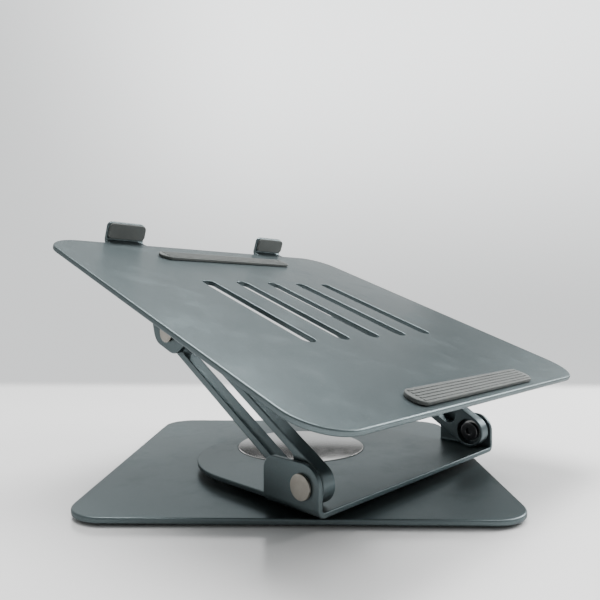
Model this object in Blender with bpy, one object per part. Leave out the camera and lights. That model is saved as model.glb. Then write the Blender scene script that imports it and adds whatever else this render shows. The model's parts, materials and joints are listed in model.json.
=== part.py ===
"""Rotating laptop stand: a square base, a turntable, two slotted arms and a tilting tray.

The base lies on the desk at the origin. Everything above the turntable is built in the
swivel's own frame (X across, Y towards the hooks) and turned with it about Z. All sizes
below are in millimetres and degrees.
"""
import math

import bmesh
import bpy
from mathutils import Matrix, Vector

MM = 0.001

# Fits
PAST = 1.0                 # how far a cutter runs past the faces it cuts
GAP = 0.3                  # clearance between pieces that touch or rest on each other
BORE_CLEARANCE = 0.3       # radial clearance of a shank in its hole
RECESS_CLEARANCE = 0.4     # radial clearance of a head, nut or disc in its recess

# Rest pose
SWIVEL_YAW = 47.1
ARM_ELEVATION = 31.5
TRAY_TILT = 20.5

# Base plate and the pad under it
BASE_SIDE = 220.0
BASE_THICKNESS = 3.0
BASE_CORNER = 20.0
BASE_EDGE = 0.9
PAD_INSET = 8.0
PAD_THICKNESS = 1.2

# Turntable
TURNTABLE_GAP = 3.6        # from the base's top to the swivel plate's underside
RACE_POCKET = 1.2
RACE_OUTER = 43.0
RACE_WIDTH = 15.0
BALL_CIRCLE = RACE_OUTER - 4.5
BALL_RADIUS = 1.3
BALL_COUNT = 8
CAGE_THICKNESS = 0.4
CAGE_HALF_WIDTH = 4.0
RACE_SCREW_INSET = 3.5     # from the inner edge of a race
RACE_SCREW_COUNT = 3
RACE_SCREW_SHANK = 1.1
RACE_SCREW_HEAD = 2.4
RACE_SCREW_HEAD_HEIGHT = 0.6
CENTRE_PIN = 4.0
CENTRE_PIN_HEAD = 7.0
CENTRE_NUT = 7.0
CENTRE_NUT_HEIGHT = 0.8
BUSH_OUTER = 8.0

# Swivel plate
EAR_SHEET = 2.6            # of the swivel plate, its ears and the tray's brackets
EAR_SETBACK = 4.5          # from the outer face of an ear to the plate's side edge
SWIVEL_FRONT_MARGIN = 3.0  # from the races to the plate's front edge
SWIVEL_CORNER = 62.0
SWIVEL_EDGE = 0.5
EAR_SPAN = 165.0           # across the outer faces of the ears
EAR_LENGTH = 36.0
EAR_FRONT_ROUND = 7.0
BEND = 1.5                 # inner radius of a bend in sheet
BEND_OVERLAP = 8.0         # how far a bent tab's foot runs into its plate
DISC_SETBACK = 3.0         # from the rim of the races to that of the disc
DISC_THICKNESS = 0.9
DISC_POCKET = 0.8

# Hinges: the same pin, screw, washer and disc spring at all four
PIVOT_BACK = 80.0          # lower pins, behind the turntable's axis
ARM_PLATE_GAP = 0.5        # between an arm and the swivel plate under it
PIN_HEAD = 6.0
PIN_HEAD_HEIGHT = 1.4
PIN_SHANK = 3.0
PIN_BORE = 1.9
SCREW_SHANK = 1.5
SCREW_REACH = 4.0
SCREW_HEAD = 5.6
SCREW_HEAD_HEIGHT = 2.8
SOCKET_SIZE = 2.3
SOCKET_DEPTH = 1.7
HEAD_CHAMFER = 0.4
WASHER_OUTER = 8.4
WASHER_THICKNESS = 0.7
SPRING_OUTER = 6.6
SPRING_THICKNESS = 0.5
SPRING_DISH = 0.3

# Arms
ARM_LENGTH = 125.0         # from pin to pin
ARM_HALF_WIDTH = 9.5
EAR_RIM = 0.9              # how far an ear's round end stands out past the arm
ARM_THICKNESS = 8.4
ARM_EDGE = 0.7
ARM_RAIL = 4.3
ARM_SLOT_END = 11.6        # from a pin's axis to the end of the slot
COUNTERBORE_RADIUS = 7.9
COUNTERBORE_DEPTH = 4.8

# Tray
TRAY_WIDTH = 250.0
TRAY_DEPTH = 250.0         # from the rear edge to the hooks' inner faces
TRAY_SHEET = 3.0
TRAY_CORNER = 23.0
TRAY_EDGE = 0.9
TRAY_BEHIND_PIN = 157.0    # from the upper pins back to the rear edge
TRAY_ABOVE_PIN = 24.7      # from the upper pins up to the tray's underside
TRAY_FRONT_SETBACK = 5.0   # the front edge lies this far inside the hooks' inner faces
HOOK_SPACING = 133.0
HOOK_WIDTH = 28.0
HOOK_HEIGHT = 13.0         # above the tray's top
HOOK_ROUND = 3.5
HOOK_PAD_THICKNESS = 1.6
HOOK_PAD_MARGIN = 1.6
VENT_COUNT = 5
VENT_WIDTH = 9.0
VENT_LENGTH = 96.0
VENT_CENTRE = 122.0        # from the rear edge
REST_PAD_LENGTH = 116.0
REST_PAD_WIDTH = 13.0
REST_PAD_THICKNESS = 2.2
REST_PAD_MARGIN = 4.0      # from the tray's rear edge to the rear pad
FRONT_PAD_MARGIN = 26.0    # from the hooks' inner faces to the front pad
BRACKET_LENGTH = 58.0
BRACKET_FLANGE = 24.0
BRACKET_ROUND = 7.0
BRACKET_SCREW_PITCH = 40.0
BRACKET_SCREW_INSET = 9.0
BRACKET_SCREW_HEAD = 3.4
BRACKET_SCREW_HEAD_HEIGHT = 1.4
BRACKET_SCREW_SHANK = 1.6

# Worked out from the sizes above
RACE_INNER = RACE_OUTER - RACE_WIDTH
RACE_SCREW_CIRCLE = RACE_INNER + RACE_SCREW_INSET
DISC_RADIUS = RACE_OUTER - DISC_SETBACK
SWIVEL_WIDTH = EAR_SPAN - 2 * EAR_SETBACK
SWIVEL_FRONT = RACE_OUTER + SWIVEL_FRONT_MARGIN
PIVOT_HEIGHT = ARM_HALF_WIDTH + ARM_PLATE_GAP
EAR_ROUND = ARM_HALF_WIDTH + EAR_RIM
VENT_PITCH = (EAR_SPAN - 2 * BRACKET_FLANGE - VENT_WIDTH) / (VENT_COUNT - 1)
BASE_BOTTOM = PAD_THICKNESS + GAP
BASE_TOP = BASE_BOTTOM + BASE_THICKNESS
SWIVEL_BOTTOM = BASE_TOP + TURNTABLE_GAP
SWIVEL_TOP = SWIVEL_BOTTOM + EAR_SHEET
RACE_SEAT = BASE_TOP - RACE_POCKET
BALL_HEIGHT = (RACE_SEAT + SWIVEL_BOTTOM) / 2
PIVOT_Z = SWIVEL_TOP + PIVOT_HEIGHT
EAR_OUTER = EAR_SPAN / 2
ARM_OUTER = EAR_OUTER - EAR_SHEET - WASHER_THICKNESS - 2 * GAP
ARM_INNER = ARM_OUTER - ARM_THICKNESS
COUNTERBORE_FLOOR = ARM_INNER + COUNTERBORE_DEPTH
PIN_HOLE = PIN_SHANK + BORE_CLEARANCE
DISC_SEAT = SWIVEL_TOP - DISC_POCKET

ROUND_STEPS = 36           # around a large ring or disc
PIN_STEPS = 16             # around a pin, washer or screw head
SMALL_STEPS = 8            # around a ball or a small screw
CORNER_STEPS = 6           # along a rounded corner
BEND_STEPS = 4             # along a bend
SMOOTH_ANGLE = math.radians(35)
HALF_STEP = math.pi / ROUND_STEPS   # sets holes between the facets of the rings they cut
UPPER_SCREW_TURN = HALF_STEP + math.pi / RACE_SCREW_COUNT

X = Vector((1, 0, 0))
Y = Vector((0, 1, 0))
Z = Vector((0, 0, 1))


# ---------------------------------------------------------------- scene helpers

def clear_scene():
    for obj in list(bpy.data.objects):
        bpy.data.objects.remove(obj)


def material(name, color, roughness, metallic):
    mat = bpy.data.materials.new(name)
    mat.use_nodes = True
    shader = mat.node_tree.nodes["Principled BSDF"]
    shader.inputs["Base Color"].default_value = (*color, 1)
    shader.inputs["Roughness"].default_value = roughness
    shader.inputs["Metallic"].default_value = metallic
    return mat


def empty(name, parent, location, rotation):
    """An empty on an axis; location in millimetres, rotation in degrees."""
    axis = bpy.data.objects.new(name, None)
    bpy.context.collection.objects.link(axis)
    axis.parent = parent
    axis.location = Vector(location) * MM
    axis.rotation_euler = [math.radians(angle) for angle in rotation]
    return axis


def solid(name, bm, parent, mat):
    """An object from a bmesh in millimetres, with its faces pointing out."""
    bmesh.ops.scale(bm, vec=(MM, MM, MM), verts=bm.verts)
    bmesh.ops.recalc_face_normals(bm, faces=bm.faces)
    mesh = bpy.data.meshes.new(name)
    bm.to_mesh(mesh)
    bm.free()
    mesh.shade_smooth()
    mesh.set_sharp_from_angle(angle=SMOOTH_ANGLE)
    obj = bpy.data.objects.new(name, mesh)
    bpy.context.collection.objects.link(obj)
    obj.parent = parent
    if mat:
        mesh.materials.append(mat)
    return obj


def guide(name, bm, parent):
    """A solid that only shapes another one."""
    obj = solid(name, bm, parent, None)
    obj.hide_render = True
    obj.display_type = 'WIRE'
    return obj


def combine(target, operation, tool):
    modifier = target.modifiers.new(tool.name, 'BOOLEAN')
    modifier.operation = operation
    modifier.object = tool


def soften(target, width):
    """Round the edges of a solid; added before its holes are cut."""
    modifier = target.modifiers.new("soft_edges", 'BEVEL')
    modifier.width = width * MM
    modifier.segments = 1
    modifier.limit_method = 'ANGLE'
    modifier.angle_limit = SMOOTH_ANGLE


# ---------------------------------------------------------------- shapes

def filleted(corners, steps=CORNER_STEPS):
    """Outline through corners (x, y, radius), each rounded by its own radius."""
    points = []
    count = len(corners)
    for index, (x, y, radius) in enumerate(corners):
        here = Vector((x, y))
        if radius == 0:
            points.append(here)
            continue
        back = (Vector(corners[index - 1][:2]) - here).normalized()
        ahead = (Vector(corners[(index + 1) % count][:2]) - here).normalized()
        half = back.angle(ahead) / 2
        centre = here + (back + ahead).normalized() * (radius / math.sin(half))
        spoke = here + back * (radius / math.tan(half)) - centre
        turn = math.copysign(math.pi - 2 * half, -back.cross(ahead))
        for step in range(steps + 1):
            points.append(centre + Matrix.Rotation(turn * step / steps, 2) @ spoke)
    return points


def rectangle(x0, x1, y0, y1, radius, steps=CORNER_STEPS):
    return filleted([(x0, y0, radius), (x1, y0, radius), (x1, y1, radius), (x0, y1, radius)],
                    steps)


def circle(radius, steps, centre=(0, 0), turn=0.0):
    angles = [turn + math.tau * step / steps for step in range(steps)]
    return [Vector((centre[0] + radius * math.cos(a), centre[1] + radius * math.sin(a)))
            for a in angles]


def capsule(start, end, radius, steps=CORNER_STEPS):
    """A slot or bar with round ends along the second coordinate, from start to end."""
    low = [Vector((radius * math.cos(a), start + radius * math.sin(a)))
           for a in (math.pi + math.pi * step / steps for step in range(steps + 1))]
    high = [Vector((radius * math.cos(a), end + radius * math.sin(a)))
            for a in (math.pi * step / steps for step in range(steps + 1))]
    return low + high


def prism(outline, low, high, axes=(X, Y, Z), bm=None):
    """Extrude an outline in the plane of the first two axes along the third."""
    bm = bm or bmesh.new()
    across, along, up = axes
    rings = [[bm.verts.new(across * p[0] + along * p[1] + up * level) for p in outline]
             for level in (low, high)]
    bm.faces.new(rings[0])
    bm.faces.new(rings[1])
    for index in range(len(outline)):
        bm.faces.new((rings[0][index - 1], rings[0][index], rings[1][index],
                      rings[1][index - 1]))
    return bm


def turned(profile, steps, axes=(X, Y, Z), centre=(0, 0)):
    """Turn a profile of (radius, height) about the third axis through centre."""
    bm = bmesh.new()
    across, along, up = axes
    middle = across * centre[0] + along * centre[1]
    rings = []
    for radius, height in profile:
        spokes = circle(radius, steps) if radius else [Vector((0, 0))]
        rings.append([bm.verts.new(middle + across * p.x + along * p.y + up * height)
                      for p in spokes])
    for inner, outer in zip(rings, rings[1:] + rings[:1]):
        for step in range(steps):
            corners = [inner[step % len(inner)], inner[(step + 1) % len(inner)],
                       outer[(step + 1) % len(outer)], outer[step % len(outer)]]
            corners = list(dict.fromkeys(corners))
            if len(corners) > 2:
                bm.faces.new(corners)
    return bm


def ring(inner, outer, low, high):
    return [(inner, low), (outer, low), (outer, high), (inner, high)]


def button(radius, low, high, chamfer):
    """Profile of a round head whose top edge is chamfered."""
    return [(0, low), (radius, low), (radius, high - chamfer), (radius - chamfer, high),
            (0, high)]


def bent_section(foot, face, bottom, top, sheet):
    """Section of a sheet tab: a flat foot, a bend, and a leg whose outer side is at face."""
    outer = sheet + BEND
    inside = [Vector((face - outer + BEND * math.sin(a), bottom + outer - BEND * math.cos(a)))
              for a in (math.pi / 2 * step / BEND_STEPS for step in range(BEND_STEPS + 1))]
    outside = [Vector((face - outer + outer * math.sin(a), bottom + outer - outer * math.cos(a)))
               for a in (math.pi / 2 * step / BEND_STEPS for step in range(BEND_STEPS + 1))]
    return ([Vector((foot, bottom + sheet))] + inside
            + [Vector((face - sheet, top)), Vector((face, top))]
            + outside[::-1] + [Vector((foot, bottom))])


def hole(name, parent, radius, low, high, centre=(0, 0), axes=(X, Y, Z), steps=PIN_STEPS):
    return guide(name, prism(circle(radius, steps, centre), low, high, axes), parent)


def places_on_circle(radius, count, turn):
    return circle(radius, count, turn=turn)


# ---------------------------------------------------------------- base

def make_base(mat):
    half = BASE_SIDE / 2
    base = solid("base_plate",
                 prism(rectangle(-half, half, -half, half, BASE_CORNER), BASE_BOTTOM, BASE_TOP),
                 None, mat["satin_metal"])
    soften(base, BASE_EDGE)
    above = BASE_TOP + PAST
    below = BASE_BOTTOM - PAST
    combine(base, 'DIFFERENCE',
            hole("race_pocket", None, RACE_OUTER + RECESS_CLEARANCE, RACE_SEAT, above,
                 steps=ROUND_STEPS))
    combine(base, 'DIFFERENCE',
            hole("centre_hole", None, CENTRE_PIN + BORE_CLEARANCE, below, above))
    recess = BASE_BOTTOM + CENTRE_NUT_HEIGHT + GAP
    combine(base, 'DIFFERENCE',
            hole("nut_recess", None, CENTRE_NUT + RECESS_CLEARANCE, below, recess))
    recess = BASE_BOTTOM + RACE_SCREW_HEAD_HEIGHT + GAP
    for index, place in enumerate(places_on_circle(RACE_SCREW_CIRCLE, RACE_SCREW_COUNT, HALF_STEP)):
        combine(base, 'DIFFERENCE',
                hole(f"base_screw_hole_{index}", None, RACE_SCREW_SHANK + BORE_CLEARANCE,
                     below, above, place, steps=SMALL_STEPS))
        combine(base, 'DIFFERENCE',
                hole(f"base_screw_recess_{index}", None, RACE_SCREW_HEAD + RECESS_CLEARANCE,
                     below, recess, place, steps=SMALL_STEPS))

    half -= PAD_INSET
    solid("base_pad",
          prism(rectangle(-half, half, -half, half, BASE_CORNER - PAD_INSET), 0, PAD_THICKNESS),
          None, mat["soft_grip"])


# ---------------------------------------------------------------- turntable

def race_profile(seat, face):
    """Section of a ring that lies on seat, with a ball groove in its face."""
    groove = BALL_RADIUS + GAP
    drop = abs(face - BALL_HEIGHT)
    lean = math.asin(drop / groove)
    side = math.copysign(1, face - BALL_HEIGHT)
    sweep = math.pi - 2 * lean
    arc = [(BALL_CIRCLE - groove * math.cos(lean + sweep * step / BEND_STEPS),
            BALL_HEIGHT + side * groove * math.sin(lean + sweep * step / BEND_STEPS))
           for step in range(BEND_STEPS + 1)]
    return [(RACE_INNER, seat), (RACE_INNER, face)] + arc + [(RACE_OUTER, face),
                                                           (RACE_OUTER, seat)]


def race(name, parent, seat, face, turn, mat):
    body = solid(name, turned(race_profile(seat, face), ROUND_STEPS), parent, mat["steel"])
    low, high = sorted((seat, face))
    for index, place in enumerate(places_on_circle(RACE_SCREW_CIRCLE, RACE_SCREW_COUNT, turn)):
        combine(body, 'DIFFERENCE',
                hole(f"{name}_hole_{index}", parent, RACE_SCREW_SHANK + BORE_CLEARANCE,
                     low - PAST, high + PAST, place, steps=SMALL_STEPS))


def race_screw(name, parent, head, tip, place, mat):
    """A flat-headed screw from the head's outer face to its tip."""
    inward = math.copysign(1, tip - head)
    under = head + inward * RACE_SCREW_HEAD_HEIGHT
    profile = [(0, head), (RACE_SCREW_HEAD, head), (RACE_SCREW_HEAD, under),
               (RACE_SCREW_SHANK, under), (RACE_SCREW_SHANK, tip), (0, tip)]
    solid(name, turned(profile, SMALL_STEPS, centre=place), parent, mat["steel"])


def ball_profile():
    steps = SMALL_STEPS // 2
    angles = [math.pi * step / steps - math.pi / 2 for step in range(1, steps)]
    arc = [(BALL_RADIUS * math.cos(a), BALL_HEIGHT + BALL_RADIUS * math.sin(a)) for a in angles]
    return [(0, BALL_HEIGHT - BALL_RADIUS)] + arc + [(0, BALL_HEIGHT + BALL_RADIUS)]


def make_turntable(swivel, mat):
    half_cage = CAGE_THICKNESS / 2
    race("lower_race", None, RACE_SEAT + GAP, BALL_HEIGHT - half_cage - GAP, HALF_STEP, mat)
    race("upper_race", swivel, SWIVEL_BOTTOM - GAP, BALL_HEIGHT + half_cage + GAP,
         UPPER_SCREW_TURN, mat)

    cage = solid("ball_cage",
                 turned(ring(BALL_CIRCLE - CAGE_HALF_WIDTH, BALL_CIRCLE + CAGE_HALF_WIDTH,
                             BALL_HEIGHT - half_cage, BALL_HEIGHT + half_cage), ROUND_STEPS),
                 swivel, mat["black_plastic"])
    for index, place in enumerate(places_on_circle(BALL_CIRCLE, BALL_COUNT, HALF_STEP)):
        combine(cage, 'DIFFERENCE',
                hole(f"cage_hole_{index}", swivel, BALL_RADIUS + GAP, BALL_HEIGHT - PAST,
                     BALL_HEIGHT + PAST, place, steps=SMALL_STEPS))
        solid(f"ball_{index + 1}", turned(ball_profile(), SMALL_STEPS, centre=place), swivel,
              mat["steel"])

    low_tip = RACE_SEAT + RACE_POCKET
    for index, place in enumerate(places_on_circle(RACE_SCREW_CIRCLE, RACE_SCREW_COUNT, HALF_STEP)):
        race_screw(f"lower_race_screw_{index + 1}", None, BASE_BOTTOM, low_tip, place, mat)
    head_top = DISC_SEAT - GAP / 2
    places = places_on_circle(RACE_SCREW_CIRCLE, RACE_SCREW_COUNT, UPPER_SCREW_TURN)
    for index, place in enumerate(places):
        race_screw(f"upper_race_screw_{index + 1}", swivel, head_top,
                   SWIVEL_BOTTOM - RACE_POCKET, place, mat)

    head_under = head_top - RACE_SCREW_HEAD_HEIGHT
    profile = [(0, BASE_BOTTOM), (CENTRE_PIN, BASE_BOTTOM), (CENTRE_PIN, head_under),
               (CENTRE_PIN_HEAD, head_under), (CENTRE_PIN_HEAD, head_top), (0, head_top)]
    solid("centre_pin", turned(profile, PIN_STEPS), None, mat["steel"])
    nut = solid("centre_nut",
                prism(circle(CENTRE_NUT, 6), BASE_BOTTOM, BASE_BOTTOM + CENTRE_NUT_HEIGHT),
                None, mat["steel"])
    combine(nut, 'DIFFERENCE',
            hole("nut_bore", None, CENTRE_PIN + BORE_CLEARANCE, 0, BASE_TOP))
    solid("centre_bush",
          turned(ring(CENTRE_PIN + BORE_CLEARANCE, BUSH_OUTER, RACE_SEAT + GAP,
                      SWIVEL_BOTTOM - GAP), PIN_STEPS), None, mat["black_plastic"])


# ---------------------------------------------------------------- swivel plate

def swivel_outline():
    half = SWIVEL_WIDTH / 2
    rear = -PIVOT_BACK - EAR_ROUND
    return filleted([(-half, rear, 0), (half, rear, 0), (half, SWIVEL_FRONT, SWIVEL_CORNER),
                     (-half, SWIVEL_FRONT, SWIVEL_CORNER)], 2 * CORNER_STEPS)


def ear(side, swivel):
    """A sheet ear bent up from the swivel plate, round about its pin."""
    axes = (X * side, Z, Y)
    rear = -PIVOT_BACK - EAR_ROUND
    top = PIVOT_Z + EAR_ROUND
    foot = SWIVEL_WIDTH / 2 - BEND_OVERLAP
    section = bent_section(foot, EAR_OUTER, SWIVEL_BOTTOM, top + PAST, EAR_SHEET)
    tab = guide(f"ear_{side}", prism(section, rear, rear + EAR_LENGTH, axes), swivel)
    below = SWIVEL_BOTTOM - PAST
    shape = filleted([(rear, below, 0), (rear + EAR_LENGTH, below, 0),
                      (rear + EAR_LENGTH, top, EAR_FRONT_ROUND), (rear, top, EAR_ROUND)])
    trim = guide(f"ear_shape_{side}",
                 prism([(p.y, p.x) for p in shape], foot - PAST, EAR_OUTER + PAST,
                       (Z, Y, X * side)), swivel)
    combine(tab, 'INTERSECT', trim)
    return tab


def make_swivel(swivel, mat):
    plate = solid("swivel_plate", prism(swivel_outline(), SWIVEL_BOTTOM, SWIVEL_TOP), swivel,
                  mat["satin_metal"])
    soften(plate, SWIVEL_EDGE)
    for side in (-1, 1):
        combine(plate, 'UNION', ear(side, swivel))
        combine(plate, 'DIFFERENCE',
                hole(f"ear_hole_{side}", swivel, PIN_HOLE, EAR_OUTER - 2 * EAR_SHEET,
                     EAR_OUTER + PAST, (PIVOT_Z, -PIVOT_BACK), (Z, Y, X * side)))
    above = SWIVEL_TOP + PAST
    below = SWIVEL_BOTTOM - PAST
    combine(plate, 'DIFFERENCE',
            hole("disc_pocket", swivel, DISC_RADIUS + RECESS_CLEARANCE, DISC_SEAT, above,
                 steps=ROUND_STEPS))
    recess = DISC_SEAT - RACE_SCREW_HEAD_HEIGHT - GAP - GAP / 2
    combine(plate, 'DIFFERENCE',
            hole("centre_recess", swivel, CENTRE_PIN_HEAD + RECESS_CLEARANCE, recess, above))
    combine(plate, 'DIFFERENCE',
            hole("swivel_bore", swivel, CENTRE_PIN + BORE_CLEARANCE, below, above))
    places = places_on_circle(RACE_SCREW_CIRCLE, RACE_SCREW_COUNT, UPPER_SCREW_TURN)
    for index, place in enumerate(places):
        combine(plate, 'DIFFERENCE',
                hole(f"swivel_screw_hole_{index}", swivel, RACE_SCREW_SHANK + BORE_CLEARANCE,
                     below, above, place, steps=SMALL_STEPS))
        combine(plate, 'DIFFERENCE',
                hole(f"swivel_screw_recess_{index}", swivel, RACE_SCREW_HEAD + RECESS_CLEARANCE,
                     recess, above, place, steps=SMALL_STEPS))

    low = DISC_SEAT + GAP
    solid("centre_disc",
          turned(button(DISC_RADIUS, low, low + DISC_THICKNESS, GAP), ROUND_STEPS), swivel,
          mat["mirror_metal"])


# ---------------------------------------------------------------- hinges

def make_hinge(level, side, axis, mat):
    """Pin, socket screw, washer and disc spring of one hinge, on the axis of an empty."""
    name = "left" if side < 0 else "right"
    axes = (Y, Z, X * side)
    head = EAR_OUTER + GAP
    tip = COUNTERBORE_FLOOR + GAP / 2
    bore_end = EAR_OUTER - EAR_SHEET
    profile = [(0, head + PIN_HEAD_HEIGHT), (PIN_HEAD - HEAD_CHAMFER, head + PIN_HEAD_HEIGHT),
               (PIN_HEAD, head + PIN_HEAD_HEIGHT - HEAD_CHAMFER), (PIN_HEAD, head),
               (PIN_SHANK, head), (PIN_SHANK, tip), (PIN_BORE, tip), (PIN_BORE, bore_end),
               (0, bore_end)]
    solid(f"{level}_pin_{name}", turned(profile, PIN_STEPS, axes), axis, mat["warm_nickel"])

    low = ARM_OUTER + GAP
    solid(f"{level}_washer_{name}",
          turned(ring(PIN_HOLE, WASHER_OUTER, low, low + WASHER_THICKNESS), PIN_STEPS, axes),
          axis, mat["black_plastic"])

    far = COUNTERBORE_FLOOR - GAP
    near = far - SPRING_THICKNESS
    profile = [(SPRING_OUTER, far), (SPRING_OUTER, near), (PIN_HOLE, near - SPRING_DISH),
               (PIN_HOLE, far - SPRING_DISH)]
    solid(f"{level}_spring_{name}", turned(profile, PIN_STEPS, axes), axis, mat["steel"])

    under = near - SPRING_DISH - GAP
    top = under - SCREW_HEAD_HEIGHT
    profile = [(0, top), (SCREW_HEAD - HEAD_CHAMFER, top), (SCREW_HEAD, top + HEAD_CHAMFER),
               (SCREW_HEAD, under), (SCREW_SHANK, under), (SCREW_SHANK, under + SCREW_REACH),
               (0, under + SCREW_REACH)]
    screw = solid(f"{level}_screw_{name}", turned(profile, PIN_STEPS, axes), axis,
                  mat["dark_steel"])
    combine(screw, 'DIFFERENCE',
            hole(f"{level}_socket_{name}", axis, SOCKET_SIZE, top - PAST, top + SOCKET_DEPTH,
                 axes=axes, steps=6))


# ---------------------------------------------------------------- arms

def make_arm(side, arms, mat):
    name = "left" if side < 0 else "right"
    axes = (Z, Y, X * side)
    arm = solid(f"arm_{name}",
                prism(capsule(0, ARM_LENGTH, ARM_HALF_WIDTH), ARM_INNER, ARM_OUTER, axes), arms,
                mat["satin_metal"])
    soften(arm, ARM_EDGE)
    slot = ARM_HALF_WIDTH - ARM_RAIL
    start = ARM_SLOT_END + slot
    combine(arm, 'DIFFERENCE',
            guide(f"slot_{name}",
                  prism(capsule(start, ARM_LENGTH - start, slot), ARM_INNER - PAST, ARM_OUTER + PAST,
                        axes), arms))
    for end, along in enumerate((0, ARM_LENGTH)):
        combine(arm, 'DIFFERENCE',
                hole(f"arm_hole_{name}_{end}", arms, PIN_HOLE, ARM_INNER - PAST, ARM_OUTER + PAST,
                     (0, along), axes))
        combine(arm, 'DIFFERENCE',
                hole(f"counterbore_{name}_{end}", arms, COUNTERBORE_RADIUS, ARM_INNER - PAST,
                     COUNTERBORE_FLOOR, (0, along), axes))


# ---------------------------------------------------------------- tray

def make_tray(tray, mat):
    rear = -TRAY_BEHIND_PIN
    hook_face = rear + TRAY_DEPTH
    bottom = TRAY_ABOVE_PIN
    top = bottom + TRAY_SHEET
    half = TRAY_WIDTH / 2
    plate = solid("tray_plate",
                  prism(rectangle(-half, half, rear, hook_face - TRAY_FRONT_SETBACK,
                                  TRAY_CORNER), bottom, top), tray, mat["satin_metal"])
    soften(plate, TRAY_EDGE)

    hook_top = top + HOOK_HEIGHT
    for side in (-1, 1):
        name = "left" if side < 0 else "right"
        middle = side * HOOK_SPACING / 2
        left, right = middle - HOOK_WIDTH / 2, middle + HOOK_WIDTH / 2
        foot = hook_face - TRAY_FRONT_SETBACK - BEND_OVERLAP
        section = bent_section(foot, hook_face + TRAY_SHEET, bottom, hook_top + PAST, TRAY_SHEET)
        hook = guide(f"hook_{name}", prism(section, left, right, (Y, Z, X)), tray)
        shape = filleted([(left, bottom - PAST, 0), (right, bottom - PAST, 0),
                          (right, hook_top, HOOK_ROUND), (left, hook_top, HOOK_ROUND)])
        trim = guide(f"hook_shape_{name}",
                     prism(shape, foot - PAST, hook_face + 2 * TRAY_SHEET, (X, Z, Y)), tray)
        combine(hook, 'INTERSECT', trim)
        combine(plate, 'UNION', hook)

        margin = HOOK_PAD_MARGIN
        low = top + BEND + GAP
        shape = rectangle(left + margin, right - margin, low, hook_top - margin,
                          HOOK_ROUND - margin / 2, BEND_STEPS)
        near = hook_face - GAP
        solid(f"hook_pad_{name}", prism(shape, near - HOOK_PAD_THICKNESS, near, (X, Z, Y)),
              tray, mat["soft_grip"])

    vents = bmesh.new()
    reach = VENT_LENGTH / 2 - VENT_WIDTH / 2
    centre = rear + VENT_CENTRE
    for index in range(VENT_COUNT):
        shift = (index - (VENT_COUNT - 1) / 2) * VENT_PITCH
        outline = [Vector((p.x + shift, p.y))
                   for p in capsule(centre - reach, centre + reach, VENT_WIDTH / 2)]
        prism(outline, bottom - PAST, top + PAST, bm=vents)
    combine(plate, 'DIFFERENCE', guide("vents", vents, tray))

    rear_pad = rear + REST_PAD_MARGIN
    front_pad = hook_face - FRONT_PAD_MARGIN - REST_PAD_WIDTH
    for name, near in (("rear_pad", rear_pad), ("front_pad", front_pad)):
        outline = rectangle(-REST_PAD_LENGTH / 2, REST_PAD_LENGTH / 2, near,
                            near + REST_PAD_WIDTH, REST_PAD_WIDTH / 2 - GAP, BEND_STEPS)
        pad = solid(name, prism(outline, top + GAP, top + GAP + REST_PAD_THICKNESS), tray,
                    mat["soft_grip"])
        soften(pad, REST_PAD_THICKNESS / 4)
    for place in bracket_screw_places():
        combine(plate, 'DIFFERENCE',
                hole("tray_screw_hole_{}_{}".format(*place_name(place)), tray,
                     BRACKET_SCREW_SHANK + BORE_CLEARANCE, bottom - PAST, top - GAP, place,
                     steps=SMALL_STEPS))


def bracket_screw_places():
    across = EAR_OUTER - BRACKET_FLANGE + BRACKET_SCREW_INSET
    return [(side * across, along * BRACKET_SCREW_PITCH / 2)
            for side in (-1, 1) for along in (-1, 1)]


def place_name(place):
    return ("left" if place[0] < 0 else "right", 1 if place[1] < 0 else 2)


def make_bracket(side, tray, mat):
    """A bent bracket under the tray: a flange screwed to it and an ear about the upper pin."""
    name = "left" if side < 0 else "right"
    axes = (X * side, -Z, Y)
    high = TRAY_ABOVE_PIN - GAP
    foot = EAR_OUTER - BRACKET_FLANGE
    half = BRACKET_LENGTH / 2
    section = bent_section(foot, EAR_OUTER, -high, EAR_ROUND + PAST, EAR_SHEET)
    bracket = solid(f"bracket_{name}", prism(section, -half, half, axes), tray,
                    mat["satin_metal"])
    shape = filleted([(half, high + PAST, 0), (-half, high + PAST, 0),
                      (-half, high - EAR_SHEET - BRACKET_ROUND, BRACKET_ROUND),
                      (-EAR_ROUND, -EAR_ROUND, EAR_ROUND), (EAR_ROUND, -EAR_ROUND, EAR_ROUND),
                      (half, high - EAR_SHEET - BRACKET_ROUND, BRACKET_ROUND)])
    trim = guide(f"bracket_shape_{name}",
                 prism([(p.y, p.x) for p in shape], foot - PAST, EAR_OUTER + PAST,
                       (Z, Y, X * side)), tray)
    combine(bracket, 'INTERSECT', trim)
    combine(bracket, 'DIFFERENCE',
            hole(f"bracket_hole_{name}", tray, PIN_HOLE, EAR_OUTER - 2 * EAR_SHEET,
                 EAR_OUTER + PAST, axes=(Z, Y, X * side)))
    under = high - EAR_SHEET
    for place in bracket_screw_places():
        if place[0] * side < 0:
            continue
        label = "{}_{}".format(*place_name(place))
        combine(bracket, 'DIFFERENCE',
                hole(f"bracket_screw_hole_{label}", tray, BRACKET_SCREW_SHANK + BORE_CLEARANCE,
                     under - PAST, high + PAST, place, steps=SMALL_STEPS))
        head = under - GAP - BRACKET_SCREW_HEAD_HEIGHT
        tip = TRAY_ABOVE_PIN + TRAY_SHEET - 2 * GAP
        profile = [(0, head), (BRACKET_SCREW_HEAD - HEAD_CHAMFER, head),
                   (BRACKET_SCREW_HEAD, head + HEAD_CHAMFER),
                   (BRACKET_SCREW_HEAD, under - GAP), (BRACKET_SCREW_SHANK, under - GAP),
                   (BRACKET_SCREW_SHANK, tip), (0, tip)]
        solid(f"bracket_screw_{label}", turned(profile, SMALL_STEPS, centre=place), tray,
              mat["dark_steel"])


# ---------------------------------------------------------------- the whole stand

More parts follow.
